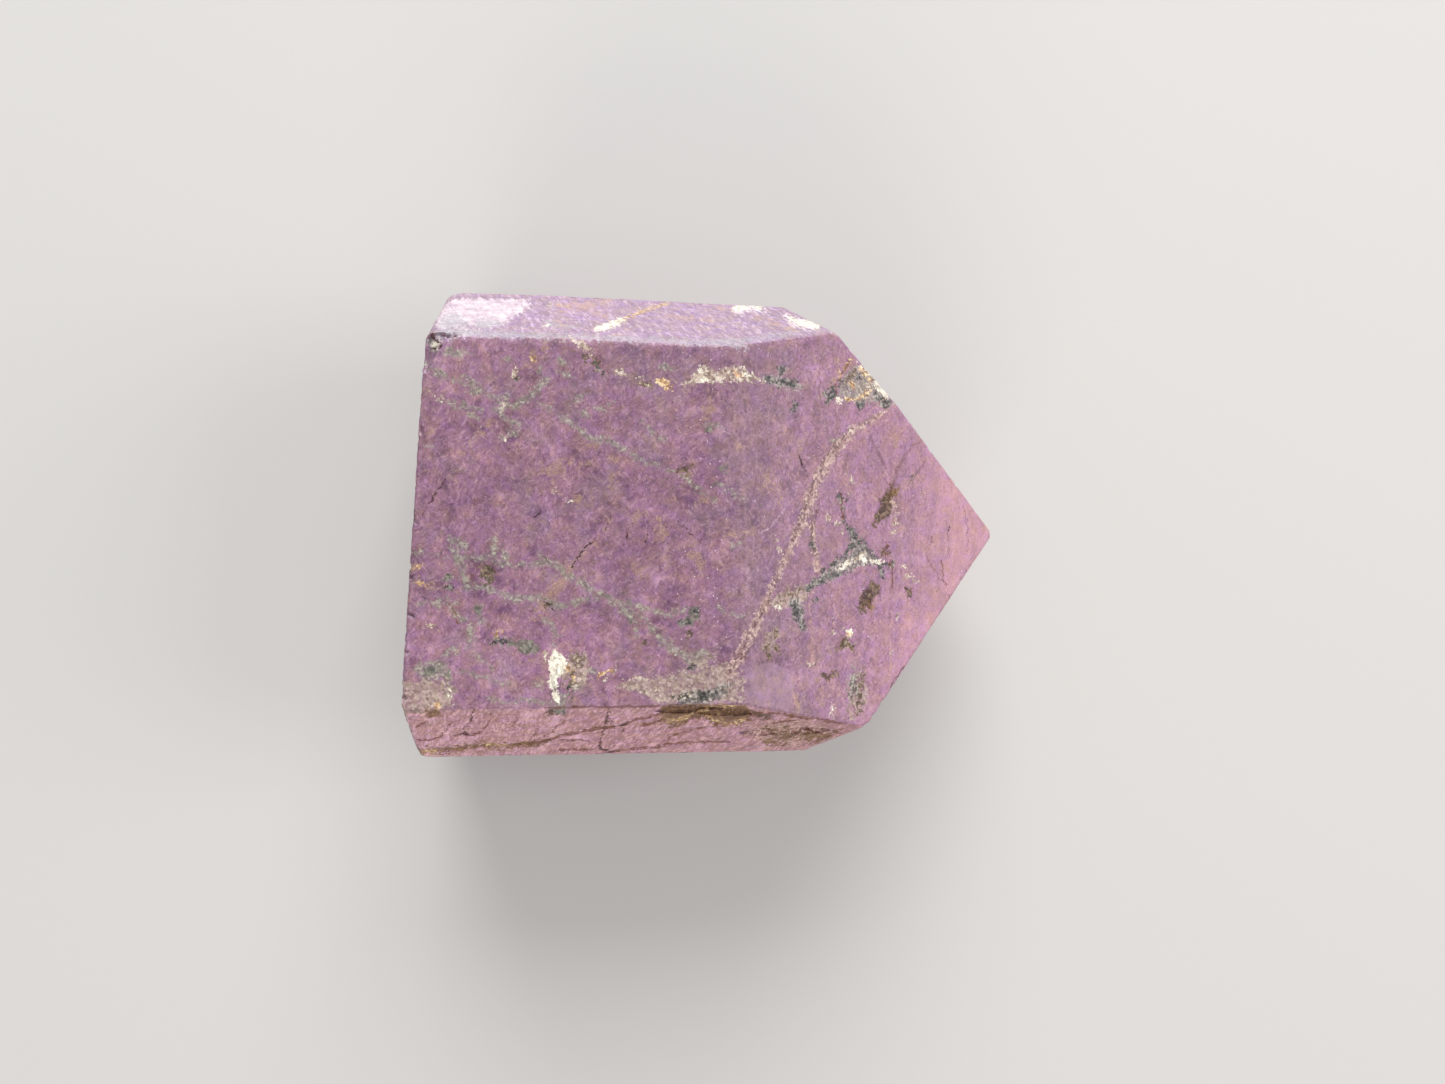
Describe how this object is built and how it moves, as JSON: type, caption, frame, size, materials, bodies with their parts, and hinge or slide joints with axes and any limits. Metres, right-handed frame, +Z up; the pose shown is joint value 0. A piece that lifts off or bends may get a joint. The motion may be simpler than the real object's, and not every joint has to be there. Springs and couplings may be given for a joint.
{
  "type": "purpurite point",
  "caption": "Flattened six-sided block of purple purpurite, ground and polished to a blunt point with a flat cut base, for display lying on its back or standing on the base.",
  "frame": {"origin": "on the surface that the stone lies on, under the middle of its bounding box", "axes": "+X from the cut base towards the point, +Z up out of the polished top face, +Y to the left of the point"},
  "size_m": [0.0808, 0.0636, 0.0407],
  "materials": {
    "purpurite": "satin polish on violet purpurite with fine cleavage grain, pale quartz and grey-green veins and brown limonite patches"
  },
  "bodies": {
    "root": {"purpurite_point": "purpurite"}
  },
  "joints": []
}
